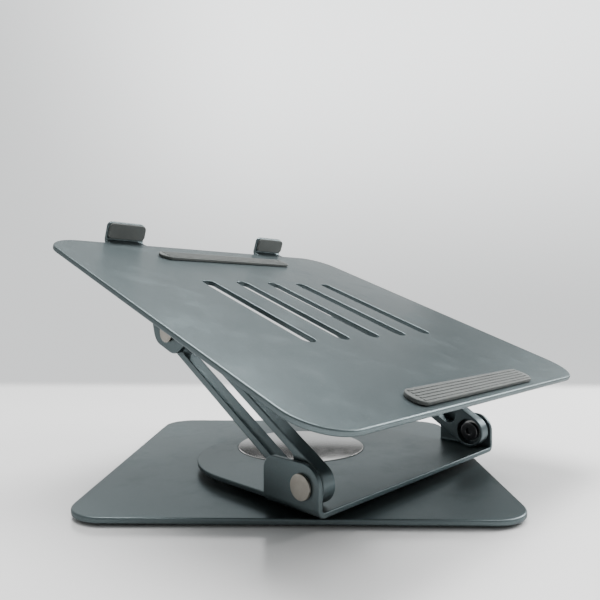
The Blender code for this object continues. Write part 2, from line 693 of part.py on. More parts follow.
def make_materials():
    return {
        "satin_metal": material("satin_metal", (0.165, 0.205, 0.215), 0.42, 0.8),
        "mirror_metal": material("mirror_metal", (0.62, 0.62, 0.61), 0.12, 1.0),
        "warm_nickel": material("warm_nickel", (0.42, 0.40, 0.36), 0.35, 1.0),
        "steel": material("steel", (0.50, 0.50, 0.50), 0.3, 1.0),
        "dark_steel": material("dark_steel", (0.05, 0.05, 0.05), 0.35, 1.0),
        "black_plastic": material("black_plastic", (0.02, 0.02, 0.02), 0.5, 0.0),
        "soft_grip": material("soft_grip", (0.045, 0.05, 0.048), 0.7, 0.0),
    }


def main():
    clear_scene()
    mat = make_materials()
    swivel = empty("swivel_axis", None, (0, 0, 0), (0, 0, SWIVEL_YAW))
    arms = empty("arm_axis", swivel, (0, -PIVOT_BACK, PIVOT_Z), (ARM_ELEVATION, 0, 0))
    tray = empty("tray_axis", arms, (0, ARM_LENGTH, 0), (TRAY_TILT - ARM_ELEVATION, 0, 0))
    lower_hinge = empty("lower_hinge_axis", swivel, (0, -PIVOT_BACK, PIVOT_Z), (0, 0, 0))

    make_base(mat)
    make_turntable(swivel, mat)
    make_swivel(swivel, mat)
    make_tray(tray, mat)
    for side in (-1, 1):
        make_hinge("lower", side, lower_hinge, mat)
        make_arm(side, arms, mat)
        make_hinge("upper", side, tray, mat)
        make_bracket(side, tray, mat)


main()
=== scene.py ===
"""Rotating laptop stand: finished pieces, finishes, desk, light and camera.

Each operator in the Laptop Stand panel makes one piece or one group of like pieces round the
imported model, which gives every position. Sizes and colours that a user may change are in the
property groups. Lengths are in metres.
"""
import json
import math

import bmesh
import bpy
from bpy.props import FloatProperty, FloatVectorProperty, IntProperty, PointerProperty
from bpy.types import Operator, Panel, PropertyGroup
from mathutils import Matrix, Vector
from mathutils.geometry import tessellate_polygon


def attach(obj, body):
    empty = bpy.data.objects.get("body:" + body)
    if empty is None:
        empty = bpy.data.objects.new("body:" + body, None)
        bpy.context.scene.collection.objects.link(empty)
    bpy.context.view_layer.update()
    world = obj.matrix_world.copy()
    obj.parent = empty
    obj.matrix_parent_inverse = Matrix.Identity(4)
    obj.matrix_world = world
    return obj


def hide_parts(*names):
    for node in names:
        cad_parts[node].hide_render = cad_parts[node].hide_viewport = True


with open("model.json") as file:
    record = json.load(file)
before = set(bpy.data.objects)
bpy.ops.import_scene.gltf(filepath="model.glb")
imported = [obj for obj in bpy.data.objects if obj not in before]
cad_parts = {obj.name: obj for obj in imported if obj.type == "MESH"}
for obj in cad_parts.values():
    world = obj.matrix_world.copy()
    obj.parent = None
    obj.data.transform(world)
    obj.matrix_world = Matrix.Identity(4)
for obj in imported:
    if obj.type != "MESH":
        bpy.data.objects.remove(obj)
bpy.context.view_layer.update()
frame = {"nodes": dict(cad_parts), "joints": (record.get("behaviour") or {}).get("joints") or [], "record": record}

bl_info = {
    "name": "Laptop Stand",
    "version": (1, 0, 0),
    "blender": (4, 5, 0),
    "location": "View3D > Sidebar > Stand",
    "description": "Makes the finished pieces of a rotating laptop stand, its desk and its light",
    "category": "Object",
}

MM = 0.001
MICRON = 0.001 * MM
GAP = 0.3 * MM             # left between pieces that must not touch
SOFT = 0.1 * MM            # softening of a small machined corner
SMALL_HEAD = 1.4 * MM      # height of the head of a pin or a bracket screw
HINGE_HEAD = 2.8 * MM      # height of the head of a hinge screw
SCREW_HOLE = 1.9 * MM      # radius of the hole for a screw
SIDES = {"left": -1, "right": 1}
LEVELS = ("lower", "upper")
ROUND_STEPS = 128          # round a disc or a large hole
PIN_STEPS = 64             # round a pin, washer or hinge screw
SCREW_STEPS = 24           # round a bracket screw
CORNER_STEPS = 20          # along a rounded corner
BEND_STEPS = 8             # along a bend in sheet
ROUNDING_STEPS = 4         # across a rounded edge
SMOOTH_ANGLE = math.radians(50)
TINY = 1e-7                # shorter than anything on the stand
HINGE_SCREW = {"shank": 1.5 * MM, "socket": 2.3 * MM, "depth": 1.7 * MM,
               "soft": (2 * SOFT, SOFT), "steps": (PIN_STEPS, PIN_STEPS)}
BRACKET_SCREW = {"shank": 1.6 * MM, "socket": 1.5 * MM, "depth": 0.9 * MM,
                 "soft": (1.2 * SOFT, 0.8 * SOFT), "steps": (32, SCREW_STEPS)}
DUST = {"metal": (0.55, 0.55, 0.53), "mirror": (0.8, 0.8, 0.78), "moulding": (0.5, 0.5, 0.48)}
CAMERA_AT = (0.0065, -0.372, 0.1025)
CAMERA_TURN = (math.radians(90.298), 0, math.radians(1.092))
LIGHTS = (                 # name, place, point aimed at, size, property with the power
    ("overhead", (-0.1, 0.3, 1.1), (0, 0, 0.05), (0.9, 0.5), "overhead_power"),
    ("right_window", (0.75, 0.25, 0.5), (0.35, -0.15, 0), (0.5, 0.4), "window_power"),
    ("behind", (-0.3, 1.1, 0.5), (0, 0, 0.05), (1.6, 0.3), "behind_power"),
)


# ------------ frames and measures

def axes_at(origin, first, second):
    """A local frame: its first and second axis, and a third at right angles to both."""
    first = Vector(first).normalized()
    second = Vector(second).normalized()
    turn = Matrix((first, second, first.cross(second))).transposed().to_4x4()
    return Matrix.Translation(Vector(origin)) @ turn


def named(items, name):
    return next(item for item in items if item["name"] == name)


LIFT = named(frame["joints"], "arm_lift")
ACROSS = Vector(LIFT["axis"]).normalized()
LOWER_PIN = Vector(LIFT["pos_m"])
UPPER_PIN = Vector(named(frame["joints"], "tray_tilt")["pos_m"])
UP = Vector((0, 0, 1))
TRAY_UP = Vector(named(frame["record"]["mounts"], "laptop_rest_rear")["axis"]).normalized()

BASE = Matrix.Identity(4)
SWIVEL = axes_at((0, 0, 0), ACROSS, UP.cross(ACROSS))
ARMS = axes_at(LOWER_PIN, ACROSS, UPPER_PIN - LOWER_PIN)
TRAY = axes_at(UPPER_PIN, ACROSS, TRAY_UP.cross(ACROSS))
HINGE = {"lower": axes_at(LOWER_PIN, ACROSS, UP.cross(ACROSS)), "upper": TRAY}
HINGE_BODY = {"lower": "swivel", "upper": "tray"}


def sideways(place, side):
    """A frame on the same origin whose third axis points outward, along the pins."""
    along = place.col[1].to_3d()
    outward = place.col[0].to_3d() * side
    return axes_at(place.translation, along, outward.cross(along))


def span(node, place):
    """Lowest and highest corner of a CAD node in a local frame."""
    inverse = place.inverted()
    points = [inverse @ vertex.co for vertex in frame["nodes"][node].data.vertices]
    return (Vector([min(p[i] for p in points) for i in range(3)]),
            Vector([max(p[i] for p in points) for i in range(3)]))


# ------------ sizes and colours a user may change

def number(label, text, default, **kind):
    return FloatProperty(name=label, description=text, default=default, min=0.0, **kind)


def length(label, text, default):
    return number(label, text, default, unit='LENGTH', precision=5)


def power(label, text, default):
    return number(label, text, default, unit='POWER')


def share(label, text, default):
    return number(label, text, default, max=1.0, subtype='FACTOR')


def tint(label, text, default):
    return FloatVectorProperty(name=label, description=text, default=default, size=3, min=0.0,
                               max=1.0, subtype='COLOR')


class StandSizes(PropertyGroup):
    base_corner: length("Base corner", "Radius of the base's corners", 20 * MM)
    base_edge: length("Base edge", "Rounding of the base's edges", 0.9 * MM)
    sheet: length("Sheet", "Thickness of the swivel plate and the brackets", 2.6 * MM)
    swivel_edge: length("Swivel edge", "Rounding of the swivel plate's edges", 0.55 * MM)
    front_round: length("Swivel front", "Radius of the swivel plate's front corners", 62 * MM)
    swivel_setback: length("Swivel setback", "From an ear's outer face to the plate's side",
                           4.5 * MM)
    swivel_bore: length("Swivel bore", "Radius of the hole under the disc", 7.4 * MM)
    ear_length: length("Ear length", "Length of an ear along the swivel plate", 36 * MM)
    ear_front: length("Ear front", "Radius of an ear's front corner", 7 * MM)
    bend: length("Bend", "Inner radius of a bend in sheet", 1.5 * MM)
    tray_sheet: length("Tray sheet", "Thickness of the tray", 3 * MM)
    tray_corner: length("Tray corner", "Radius of the tray's corners", 23 * MM)
    tray_edge: length("Tray edge", "Rounding of the tray's edges", 0.9 * MM)
    tray_setback: length("Tray setback", "From the hooks' inner faces to the tray's front edge",
                         5 * MM)
    hook_spacing: length("Hook spacing", "Between the middles of the hooks", 133 * MM)
    hook_width: length("Hook width", "Width of a hook", 28 * MM)
    hook_round: length("Hook round", "Radius of a hook's top corners", 3.5 * MM)
    vent_width: length("Slot width", "Width of a cooling slot", 9 * MM)
    vent_length: length("Slot length", "Length of a cooling slot", 96 * MM)
    vent_pitch: length("Slot pitch", "From one cooling slot to the next", 27 * MM)
    vent_centre: length("Slot place", "From the tray's rear edge to the slots' middle", 122 * MM)
    vent_count: IntProperty(name="Slots", description="Number of cooling slots", default=5, min=0)
    arm_edge: length("Arm edge", "Rounding of the arms' edges", 0.8 * MM)
    arm_rail: length("Arm rail", "Width of the rails beside an arm's slot", 4.3 * MM)
    arm_solid: length("Arm end", "From a pin to the end of an arm's slot", 11.6 * MM)
    counterbore: length("Counterbore", "Radius of the recess round a hinge screw", 7.9 * MM)
    counterbore_depth: length("Counterbore depth", "Depth of the same recess", 4.8 * MM)
    pin_hole: length("Pin hole", "Radius of the holes round the hinge pins", 3.3 * MM)
    race_pocket: length("Race pocket", "Clearance round the lower race", 0.4 * MM)
    disc_pocket: length("Disc pocket", "Clearance round the disc and under it", 0.4 * MM)
    bracket_round: length("Bracket round", "Radius of a bracket's corners", 7 * MM)
    pad_inset: length("Underlay inset", "How much smaller the underlay's corners are", 8 * MM)
    cushion_corner: length("Cushion corner", "Radius of the corners of a hook's cushion", 3 * MM)
    cushion_margin: length("Cushion margin", "How far a hook's cushion wraps its edges", 1.1 * MM)


class StandFinish(PropertyGroup):
    slate: tint("Slate", "Satin metal of the plates and arms", (0.092, 0.115, 0.120))
    # lighter slate on the edges: partly wear, partly a painted highlight
    slate_worn_lit_edge: tint("Slate edge", "Satin metal where an edge is worn", (0.11, 0.135, 0.14))
    slate_sheen: tint("Slate sheen", "Satin metal seen at a low angle", (0.50, 0.50, 0.50))
    slate_roughness: share("Slate roughness", "Roughness of the satin metal", 0.33)
    nickel: tint("Nickel", "Pin heads", (0.32, 0.30, 0.265))
    mirror: tint("Disc", "Polished disc", (0.43, 0.43, 0.42))
    bright_steel: tint("Steel", "Races, balls and springs", (0.50, 0.50, 0.50))
    black_steel: tint("Black steel", "Socket screws", (0.07, 0.07, 0.073))
    nylon: tint("Black plastic", "Washers, bush and ball cage", (0.018, 0.018, 0.019))
    silicone: tint("Silicone", "Rest pads and hook pads", (0.066, 0.072, 0.069))
    grain: number("Grain", "Grains in a metre of satin metal", 2600.0)


class StandStage(PropertyGroup):
    desk: tint("Desk", "White desk", (0.81, 0.805, 0.80))
    wall: tint("Wall", "Pale wall behind the desk", (0.96, 0.98, 0.985))
    desk_far_edge: length("Desk edge", "Where the desk fades into the wall", 330 * MM)
    wall_seen: number("Wall brightness", "How bright the wall looks", 2.6)
    wall_foot: share("Wall foot", "Brightness of the wall's darker parts, as a share", 0.43)
    room_light: number("Room light", "Light from the wall behind the stand", 1.15)
    front_light: share("Front light", "Light from in front of the stand, as a share", 0.42)
    high_light: share("High light", "Light from the wall above the rail, as a share", 0.68)
    rail_low: share("Rail", "Lower edge of the dark rail on the wall, as a sine", 0.236)
    rail_high: share("Rail top", "Upper edge of the dark rail on the wall, as a sine", 0.274)
    overhead_power: power("Overhead light", "Power of the large light overhead", 26.0)
    window_power: power("Window light", "Power of the light on the right", 13.0)
    behind_power: power("Light behind", "Power of the light behind on the left", 3.0)
    lens: number("Lens", "Focal length on a 36 mm sensor, in millimetres", 34.6)


GROUPS = {"stand_sizes": StandSizes, "stand_finish": StandFinish, "stand_stage": StandStage}


# ------------ outlines

def filleted(corners, steps=CORNER_STEPS):
    """Outline through corners (x, y, radius), each rounded by its own radius."""
    points = []
    for index, (x, y, radius) in enumerate(corners):
        here = Vector((x, y))
        if radius == 0:
            points.append(here)
            continue
        back = (Vector(corners[index - 1][:2]) - here).normalized()
        ahead = (Vector(corners[(index + 1) % len(corners)][:2]) - here).normalized()
        half = back.angle(ahead) / 2
        centre = here + (back + ahead).normalized() * (radius / math.sin(half))
        spoke = here + back * (radius / math.tan(half)) - centre
        turn = math.copysign(math.pi - 2 * half, -back.cross(ahead))
        for step in range(steps + 1):
            points.append(centre + Matrix.Rotation(turn * step / steps, 2) @ spoke)
    return points


def both_sides(half):
    """Outline symmetric about the second coordinate, from the corners on its right."""
    return filleted(half + [(-x, y, radius) for x, y, radius in half[::-1]])


def rectangle(low, high, radius):
    return filleted([(low[0], low[1], radius), (high[0], low[1], radius),
                     (high[0], high[1], radius), (low[0], high[1], radius)])


def circle(radius, centre=(0, 0), steps=ROUND_STEPS):
    return [Vector((centre[0] + radius * math.cos(math.tau * step / steps),
                    centre[1] + radius * math.sin(math.tau * step / steps)))
            for step in range(steps)]


def slot_outline(start, end, radius):
    """A slot with round ends along the first coordinate, round ends centred on start and end."""
    points = []
    for centre, first in ((end, -math.pi / 2), (start, math.pi / 2)):
        for step in range(CORNER_STEPS + 1):
            angle = first + math.pi * step / CORNER_STEPS
            points.append(Vector((centre + radius * math.cos(angle), radius * math.sin(angle))))
    return points


# ------------ solids

def new_mesh():
    bm = bmesh.new()
    bm.verts.layers.float.new("rim")
    return bm


def edge_profile(start, end, start_round, end_round):
    """Section (inset, height, rim) of an edge from height start to height end, both rounded."""
    halves = []
    for at, other, rounding in ((start, end, start_round), (end, start, end_round)):
        half = []
        for step in range(ROUNDING_STEPS + 1 if rounding else 1):
            angle = math.pi / 2 * step / ROUNDING_STEPS
            rise = math.copysign(rounding, other - at) * (1 - math.cos(angle))
            half.append((rounding * (1 - math.sin(angle)), at + rise, math.sin(2 * angle)))
        halves.append(half)
    return halves[0] + halves[1][::-1]


def wall(bm, outline, profile, inside=False):
    """Sweep an edge section round an outline; inside for a hole. Gives its first and last ring."""
    rim = bm.verts.layers.float["rim"]
    area = sum(a.cross(b) for a, b in zip(outline, outline[1:] + outline[:1]))
    if (area > 0) == inside:
        outline = outline[::-1]
    normals = []
    for index, here in enumerate(outline):
        ahead = (outline[(index + 1) % len(outline)] - here).normalized()
        back = (here - outline[index - 1]).normalized()
        inward = Vector((-ahead.y - back.y, ahead.x + back.x))
        normals.append(inward * (2 / inward.length_squared))
    rings = []
    for inset, height, mark in profile:
        ring = []
        for point, normal in zip(outline, normals):
            vert = bm.verts.new((*(point + normal * inset), height))
            vert[rim] = mark
            ring.append(vert)
        rings.append(ring)
    for lower, upper in zip(rings, rings[1:]):
        for index in range(len(outline)):
            bm.faces.new((lower[index - 1], lower[index], upper[index], upper[index - 1]))
    return rings[0], rings[-1]


def cap(bm, rings):
    """Fill between an outer ring and the rings of its holes, all at one height."""
    verts = [vert for ring in rings for vert in ring]
    for corners in tessellate_polygon([[vert.co for vert in ring] for ring in rings]):
        bm.faces.new([verts[index] for index in corners])


def bore(bm, radius, start, end, start_round=0, end_round=0, at=(0, 0), steps=PIN_STEPS):
    """Wall of a round hole between two heights; gives its first and last ring."""
    return wall(bm, circle(radius, at, steps), edge_profile(start, end, start_round, end_round),
                True)


def sheet_walls(bm, outline, low, high, rounding, holes=()):
    """Edges of a sheet and its through holes (outline, rounding); its lower and upper rings."""
    ends = [wall(bm, outline, edge_profile(low, high, rounding, rounding))]
    ends += [wall(bm, hole, edge_profile(low, high, soft, soft), True) for hole, soft in holes]
    return [below for below, above in ends], [above for below, above in ends]


def plate(outline, low, high, rounding, holes=()):
    """A flat sheet with rounded edges and through holes."""
    bm = new_mesh()
    for rings in sheet_walls(bm, outline, low, high, rounding, holes):
        cap(bm, rings)
    return bm


def turned(profile, steps=PIN_STEPS):
    """Turn a closed section of (radius, height) about the third axis."""
    bm = new_mesh()
    rings = []
    for radius, height in profile:
        spokes = circle(radius, steps=steps) if radius > TINY else [Vector((0, 0))]
        rings.append([bm.verts.new((*point, height)) for point in spokes])
    for inner, outer in zip(rings, rings[1:] + rings[:1]):
        for step in range(steps):
            corners = [inner[step % len(inner)], inner[(step + 1) % len(inner)],
                       outer[(step + 1) % len(outer)], outer[step % len(outer)]]
            corners = list(dict.fromkeys(corners))
            if len(corners) > 2:
                bm.faces.new(corners)
    return bm


def section(corners):
    """A section for turning, whose corners (radius, height, rounding) are softened."""
    return [(point.x, point.y) for point in filleted(corners, ROUNDING_STEPS)]


def bend_up(bm, direction, start, level, radius, sheet):
    """Bend what lies past start along direction up through a right angle, as sheet is bent."""
    direction = Vector((*direction, 0))
    run = (radius + sheet / 2) * math.pi / 2
    for step in range(BEND_STEPS + 1):
        geometry = bm.verts[:] + bm.edges[:] + bm.faces[:]
        bmesh.ops.bisect_plane(bm, geom=geometry, dist=TINY,
                               plane_co=direction * (start + run * step / BEND_STEPS),
                               plane_no=direction)
    for vert in bm.verts:
        past = vert.co.dot(direction) - start
        if past <= 0:
            continue
        from_centre = level + radius - vert.co.z
        angle = min(past / run, 1) * math.pi / 2
        out = start + from_centre * math.sin(angle)
        vert.co += direction * (out - vert.co.dot(direction))
        vert.co.z = level + radius - from_centre * math.cos(angle) + max(past - run, 0)


def flat_reach(radius, sheet, rise):
    """How far a flat blank runs past the start of its bend for a leg to reach rise."""
    return (radius + sheet / 2) * math.pi / 2 + rise - radius


def join(bm, other, move):
    """Add another mesh to this one, moved."""
    rim = bm.verts.layers.float["rim"]
    other_rim = other.verts.layers.float["rim"]
    copies = {}
    for vert in other.verts:
        copies[vert] = bm.verts.new(vert.co + Vector(move))
        copies[vert][rim] = vert[other_rim]
    for face in other.faces:
        bm.faces.new([copies[vert] for vert in face.verts])
    other.free()


def show(name, data):
    obj = bpy.data.objects.new(name, data)
    bpy.context.scene.collection.objects.link(obj)
    return obj


def piece(name, bm, place, body, finish, replaced):
    """A finished object from a mesh in a local frame; it rides on its body."""
    bmesh.ops.recalc_face_normals(bm, faces=bm.faces)
    local = bm.verts.layers.float_vector.new("place")
    for vert in bm.verts:
        vert[local] = vert.co
    bm.transform(place)
    mesh = bpy.data.meshes.new(name)
    bm.to_mesh(mesh)
    bm.free()
    mesh.shade_smooth()
    mesh.set_sharp_from_angle(angle=SMOOTH_ANGLE)
    mesh.materials.append(finish_named(finish))
    obj = show(name, mesh)
    flat = obj.modifiers.new("face_normals", 'WEIGHTED_NORMAL')
    flat.weight = 100
    flat.keep_sharp = True
    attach(obj, body)
    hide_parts(replaced)


def repaint(finish, *nodes):
    """Give CAD nodes that stay in view their finish."""
    for name in nodes:
        obj = frame["nodes"][name]
        if not obj.material_slots:
            obj.data.materials.append(finish_named(finish))
        for material_slot in obj.material_slots:
            material_slot.link = 'OBJECT'
            material_slot.material = finish_named(finish)


# ------------ shared effects

def add(tree, kind, column, row, **settings):
    node = tree.nodes.new(kind)
    node.location = (220 * column, -180 * row)
    for key, value in settings.items():
        setattr(node, key, value)
    return node


def connect(socket, value):
    """Set a socket to a number or a colour, or link another socket to it."""
    if isinstance(value, (int, float)):
        socket.default_value = value
    elif isinstance(value, tuple):
        socket.default_value = (*value, 1)
    else:
        socket.id_data.links.new(value, socket)


def feed(node, **values):
    """Connect values to a node's inputs by name, where _ stands for a space."""
    for label, value in values.items():
        connect(node.inputs[label.replace("_", " ")], value)


def effect(name, inputs, outputs):
    """A node group with its input sockets and its output node.

    Inputs are labels with defaults; the one without a default is a vector.
    """
    tree = bpy.data.node_groups.new(name, 'ShaderNodeTree')
    for label, default in inputs.items():
        kind = 'NodeSocketVector' if default is None else 'NodeSocketFloat'
        socket = tree.interface.new_socket(label, in_out='INPUT', socket_type=kind)
        if default is not None:
            socket.default_value = default
    for label in outputs:
        tree.interface.new_socket(label, in_out='OUTPUT', socket_type='NodeSocketFloat')
    given = add(tree, 'NodeGroupInput', 0, 0)
    return tree, given.outputs[:len(inputs)], add(tree, 'NodeGroupOutput', 8, 0)


def arithmetic(tree, operation, column, row, *values, clamp=False):
    """A math node; each value is a socket or a number."""
    node = add(tree, 'ShaderNodeMath', column, row, operation=operation, use_clamp=clamp)
    for socket, value in zip(node.inputs, values):
        connect(socket, value)
    return node.outputs[0]


def split(tree, column, row, vector):
    """The three parts of a vector."""
    node = add(tree, 'ShaderNodeSeparateXYZ', column, row)
    feed(node, Vector=vector)
    return node.outputs


def noise(tree, column, row, vector, scale, detail, roughness=0.5):
    node = add(tree, 'ShaderNodeTexNoise', column, row)
    feed(node, Vector=vector, Scale=scale, Detail=detail, Roughness=roughness)
    return node.outputs[0]


def between(tree, column, row, value, low, high):
    """0 below low, 1 above high, and smooth between them."""
    node = add(tree, 'ShaderNodeMapRange', column, row, interpolation_type='SMOOTHSTEP')
    feed(node, Value=value, From_Min=low, From_Max=high)
    return node.outputs["Result"]


def ranged(tree, column, row, mask, low, high):
    """From low where a mask is 0 to high where it is 1."""
    node = add(tree, 'ShaderNodeMapRange', column, row)
    feed(node, Value=mask, To_Min=low, To_Max=high)
    return node.outputs["Result"]


def fine_grain():
    """Height and tone of a fine blasted or moulded grain, with faint larger clouds."""
    tree, (vector, grains, cloud_scale), result = effect(
        "Fine Grain", {"Vector": None, "Grains per Metre": 2600.0, "Clouds per Metre": 30.0},
        ("Height", "Tone", "Clouds"))
    grain = noise(tree, 2, 0, vector, grains, 3.0, 0.6)
    clouds = noise(tree, 2, 2, vector, cloud_scale, 4.0, 0.55)
    feed(result, Height=grain, Tone=between(tree, 4, 0, grain, 0.35, 0.68),
         Clouds=between(tree, 4, 2, clouds, 0.30, 0.70))
    return tree


def worn_edge_highlight():
    """Where the rounded edges are painted lighter, in uneven stretches: wear and a painted highlight."""
    tree, (vector, patch_scale, evenness), result = effect(
        "Edge Wear", {"Vector": None, "Patches per Metre": 220.0, "Evenness": 0.7}, ("Mask",))
    rim = add(tree, 'ShaderNodeAttribute', 2, 0, attribute_name="rim")
    patches = between(tree, 3, 2, noise(tree, 2, 2, vector, patch_scale, 3.0), 0.35, 0.65)
    uneven = arithmetic(tree, 'MAXIMUM', 4, 2, patches, evenness)
    feed(result, Mask=arithmetic(tree, 'MULTIPLY', 5, 0, rim.outputs["Fac"], uneven,
                                       clamp=True))
    return tree


def handling_marks():
    """Faint smudges from fingers, and fine dust that has settled on upward faces."""
    tree, (vector, smudge_scale, dust_scale), result = effect(
        "Handling Marks", {"Vector": None, "Smudges per Metre": 45.0, "Dust per Metre": 900.0},
        ("Smudges", "Dust"))
    wide = noise(tree, 2, 0, vector, smudge_scale, 5.0, 0.62)
    specks = between(tree, 4, 2, noise(tree, 2, 2, vector, dust_scale, 1.0), 0.68, 0.76)
    facing = add(tree, 'ShaderNodeNewGeometry', 2, 4).outputs["Normal"]
    upward = between(tree, 4, 4, split(tree, 3, 4, facing)["Z"], 0.3, 0.95)
    feed(result, Smudges=between(tree, 4, 0, wide, 0.48, 0.72),
         Dust=arithmetic(tree, 'MULTIPLY', 5, 2, specks, upward))
    return tree


def turning_marks():
    """Height of the fine rings a lathe leaves about the piece's own third axis."""
    tree, (ring_scale,), result = effect("Turning Marks", {"Rings per Metre": 5000.0},
                                         ("Height",))
    place = add(tree, 'ShaderNodeAttribute', 1, 1, attribute_name="place")
    parts = split(tree, 2, 1, place.outputs["Vector"])
    first, second = [arithmetic(tree, 'MULTIPLY', 3, row, parts[axis], parts[axis])
                     for row, axis in ((1, "X"), (2, "Y"))]
    radius = arithmetic(tree, 'SQRT', 5, 1, arithmetic(tree, 'ADD', 4, 1, first, second))
    phase = arithmetic(tree, 'MULTIPLY', 6, 1, radius, ring_scale)
    feed(result, Height=arithmetic(tree, 'SINE', 7, 1, phase))
    return tree


EFFECTS = {}


def placed(tree, maker, row, **values):
    """A shared effect, built once, placed in a material with its own values."""
    if maker not in EFFECTS:
        EFFECTS[maker] = maker()
    node = add(tree, 'ShaderNodeGroup', 1, row, node_tree=EFFECTS[maker])
    feed(node, **values)
    return node.outputs


# ------------ finishes

def blank(name, color, roughness, metallic):
    """A material with its shader's constants set; gives its tree, shader and object vector."""
    finish = bpy.data.materials.new(name)
    finish.use_nodes = True
    finish.diffuse_color = (*color, 1)
    tree = finish.node_tree
    shader = tree.nodes["Principled BSDF"]
    shader.location = (2200, 0)
    tree.nodes["Material Output"].location = (2500, 0)
    feed(shader, Base_Color=color, Roughness=roughness, Metallic=metallic)
    coords = add(tree, 'ShaderNodeTexCoord', 0, 0)
    return finish, tree, shader, coords.outputs["Object"]


def tinted(tree, column, row, mask, first, second):
    """Mix two colours, each a socket or a plain colour, by a mask."""
    node = add(tree, 'ShaderNodeMix', column, row, data_type='RGBA')
    feed(node, Factor=mask)
    for socket, value in zip(node.inputs[6:8], (first, second)):
        connect(socket, value)
    return node.outputs[2]


def layered(tree, shader, under, *layers):
    """Feed the base colour: a colour under layers, each a mask, its share and its colour."""
    for step, (mask, part, over) in enumerate(layers):
        shown = arithmetic(tree, 'MULTIPLY', step + 3, 1, mask, part)
        under = tinted(tree, step + 4, 0, shown, under, over)
    feed(shader, Base_Color=under)


def bumped(tree, shader, height, depth, row=3):
    """Feed a height to the shader's normal; depth is the height's scale in metres."""
    bump = add(tree, 'ShaderNodeBump', 8, row)
    feed(bump, Height=height, Distance=depth)
    feed(shader, Normal=bump.outputs["Normal"])


def scaled(color, factor):
    return tuple(min(1.0, channel * factor) for channel in color)


def satin_slate(look, name, worn_lit_edge_share):
    """Blue-grey satin metal: blasted grain, faint clouds, worn and painted-highlight edges, smudges and dust."""
    color, rough = tuple(look.slate), look.slate_roughness
    finish, tree, shader, vector = blank(name, color, rough, 0.85)
    feed(shader, Specular_Tint=tuple(look.slate_sheen))
    grain = placed(tree, fine_grain, 0, Vector=vector, Grains_per_Metre=look.grain,
                   Clouds_per_Metre=26.0)
    wear_and_highlight = placed(tree, worn_edge_highlight, 2, Vector=vector, Evenness=0.75)
    marks = placed(tree, handling_marks, 4, Vector=vector)
    clouded = tinted(tree, 3, 0, grain["Clouds"], scaled(color, 0.95), scaled(color, 1.05))
    # the edges' lighter colour is partly wear, partly a painted highlight along the roundings
    layered(tree, shader, clouded, (grain["Tone"], 0.35, scaled(color, 1.5)),
            (wear_and_highlight["Mask"], worn_lit_edge_share, tuple(look.slate_worn_lit_edge)),
            (marks["Dust"], 0.12, DUST["metal"]))
    smudged = ranged(tree, 4, 3, marks["Smudges"], rough, rough + 0.06)
    duller = arithmetic(tree, 'MULTIPLY', 5, 3, wear_and_highlight["Mask"], 0.05 * worn_lit_edge_share)
    feed(shader, Roughness=arithmetic(tree, 'ADD', 6, 3, smudged, duller))
    bumped(tree, shader, grain["Height"], 60 * MICRON, 4)
    return finish


def polished_disc(look, name):
    """Mirror-bright disc with fine turning rings, faint smudges and dust."""
    color = tuple(look.mirror)
    finish, tree, shader, vector = blank(name, color, 0.06, 1.0)
    marks = placed(tree, handling_marks, 0, Vector=vector, Smudges_per_Metre=60.0)
    rings = placed(tree, turning_marks, 2, Rings_per_Metre=9000.0)
    layered(tree, shader, color, (marks["Dust"], 0.15, DUST["mirror"]))
    feed(shader, Roughness=ranged(tree, 4, 1, marks["Smudges"], 0.055, 0.07))
    bumped(tree, shader, rings["Height"], 0.08 * MICRON)
    return finish


def turned_metal(look, name, color_name, roughness, ring_depth, rubbed_edge_highlight_gain):
    """A turned and plated metal: fine rings, edges painted brighter as wear and highlight, slight clouding."""
    color = tuple(getattr(look, color_name))
    finish, tree, shader, vector = blank(name, color, roughness, 1.0)
    grain = placed(tree, fine_grain, 0, Vector=vector, Grains_per_Metre=3200.0,
                   Clouds_per_Metre=160.0)
    wear_and_highlight = placed(tree, worn_edge_highlight, 2, Vector=vector, Patches_per_Metre=500.0, Evenness=0.8)
    rings = placed(tree, turning_marks, 4, Rings_per_Metre=14000.0)
    clouded = tinted(tree, 3, 0, grain["Clouds"], scaled(color, 0.90), scaled(color, 1.08))
    # rubbed edges painted brighter: partly wear, partly a painted highlight
    layered(tree, shader, clouded, (wear_and_highlight["Mask"], 1.0, scaled(color, rubbed_edge_highlight_gain)))
    feed(shader, Roughness=ranged(tree, 4, 2, grain["Tone"], roughness - 0.04,
                                        roughness + 0.08))
    bumped(tree, shader, rings["Height"], ring_depth, 4)
    return finish


def moulded(look, name, color_name, roughness, grains, depth, bloom):
    """A moulded plastic or silicone: fine grain, cloudy bloom and dust."""
    color = tuple(getattr(look, color_name))
    finish, tree, shader, vector = blank(name, color, roughness, 0.0)
    feed(shader, Specular_IOR_Level=0.25)
    grain = placed(tree, fine_grain, 0, Vector=vector, Grains_per_Metre=grains,
                   Clouds_per_Metre=70.0)
    wear_and_highlight = placed(tree, worn_edge_highlight, 2, Vector=vector, Evenness=0.5)
    marks = placed(tree, handling_marks, 4, Vector=vector, Dust_per_Metre=1400.0)
    clouded = tinted(tree, 3, 0, grain["Clouds"], scaled(color, 1 - bloom),
                     scaled(color, 1 + bloom))
    # edges painted lighter: partly wear, partly a painted highlight along the roundings
    layered(tree, shader, clouded, (grain["Tone"], 0.3, scaled(color, 1.7)),
            (wear_and_highlight["Mask"], 0.5, scaled(color, 1.9)), (marks["Dust"], 0.35, DUST["moulding"]))
    feed(shader, Roughness=ranged(tree, 5, 3, marks["Smudges"], roughness,
                                        roughness + 0.1))
    bumped(tree, shader, grain["Height"], depth, 4)
    return finish


